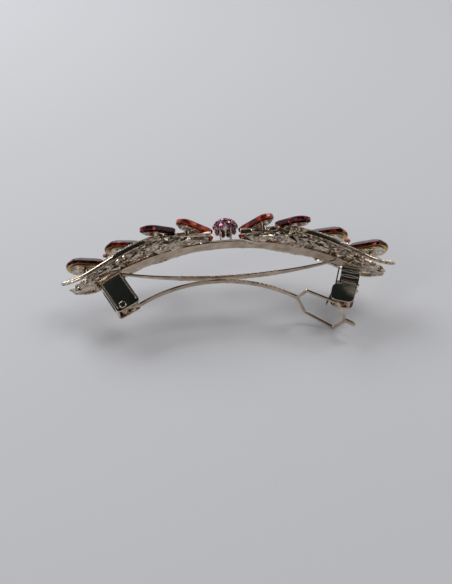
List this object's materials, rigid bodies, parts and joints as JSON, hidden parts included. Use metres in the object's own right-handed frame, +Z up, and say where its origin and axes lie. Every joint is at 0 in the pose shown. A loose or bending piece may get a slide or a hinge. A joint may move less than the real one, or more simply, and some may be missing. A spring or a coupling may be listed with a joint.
{
  "type": "hair clip",
  "caption": "Arched French-type hair clip with a sprung clasp, a looped closing arm and cast leaf sprays set with pear and round glass stones.",
  "frame": {"origin": "on the surface the clip lies on, under the middle of its box", "axes": "+X from the hinge to the clasp; +Y the way the decorated face looks, leaning back; +Z up as the clip lies on its long edge"},
  "size_m": [0.0896, 0.033, 0.0256],
  "materials": {
    "plated_hardware": "steel sheet and strip, polished and plated light rose gold",
    "plated_casting": "cast alloy, polished and plated light rose gold",
    "wine_glass": "faceted foiled glass, very dark wine red",
    "orange_red_glass": "faceted foiled glass, glowing orange red",
    "pink_glass": "small faceted foiled stones, pink to amethyst"
  },
  "bodies": {
    "frame": {"base_bar": "plated_hardware", "hinge_bracket": "plated_hardware", "hinge_rivet": "plated_hardware", "tension_bow": "plated_hardware", "clasp_post": "plated_hardware", "clasp_pin_near": "plated_hardware", "clasp_pin_far": "plated_hardware", "catch_spring": "plated_hardware", "cast_spray_left": "plated_casting", "cast_spray_right": "plated_casting", "vine_near_left": "plated_casting", "vine_near_right": "plated_casting", "vine_far_left": "plated_casting", "vine_far_right": "plated_casting", "stone_inner_near_left": "orange_red_glass", "cup_inner_near_left": "plated_casting", "stone_inner_far_left": "orange_red_glass", "cup_inner_far_left": "plated_casting", "stone_inner_near_right": "orange_red_glass", "cup_inner_near_right": "plated_casting", "stone_inner_far_right": "orange_red_glass", "cup_inner_far_right": "plated_casting", "stone_outer_near_left": "wine_glass", "cup_outer_near_left": "plated_casting", "stone_outer_far_left": "wine_glass", "cup_outer_far_left": "plated_casting", "stone_outer_near_right": "wine_glass", "cup_outer_near_right": "plated_casting", "stone_outer_far_right": "wine_glass", "cup_outer_far_right": "plated_casting", "stone_shoulder_left": "wine_glass", "cup_shoulder_left": "plated_casting", "stone_shoulder_right": "wine_glass", "cup_shoulder_right": "plated_casting", "stone_tip_left": "wine_glass", "cup_tip_left": "plated_casting", "stone_tip_right": "wine_glass", "cup_tip_right": "plated_casting", "cluster_pedestal": "plated_casting", "cluster_cups": "plated_casting", "cluster_stones": "pink_glass", "accent_stones": "orange_red_glass", "accent_cups": "plated_casting"},
    "closing_arm": {"closing_arm": "plated_hardware"},
    "catch_wing_near": {"catch_wing_near": "plated_hardware"},
    "catch_wing_far": {"catch_wing_far": "plated_hardware"}
  },
  "joints": [
    {"name": "arm_hinge", "type": "hinge", "parent": "frame", "child": "closing_arm", "pos_m": [-0.02811, -0.00791, 0.00901], "axis": [0, 0.4226, -0.9063], "range_deg": [0, 75]},
    {"name": "near_wing_squeeze", "type": "hinge", "parent": "frame", "child": "catch_wing_near", "pos_m": [0.03152, -0.00629, 0.01147], "axis": [0.9563, -0.265, -0.1236], "range_deg": [0, 6], "stiffness_Nm_per_rad": 0.01},
    {"name": "far_wing_squeeze", "type": "hinge", "parent": "frame", "child": "catch_wing_far", "pos_m": [0.03152, -0.00498, 0.00866], "axis": [-0.9563, 0.265, 0.1236], "range_deg": [0, 6], "stiffness_Nm_per_rad": 0.01}
  ]
}
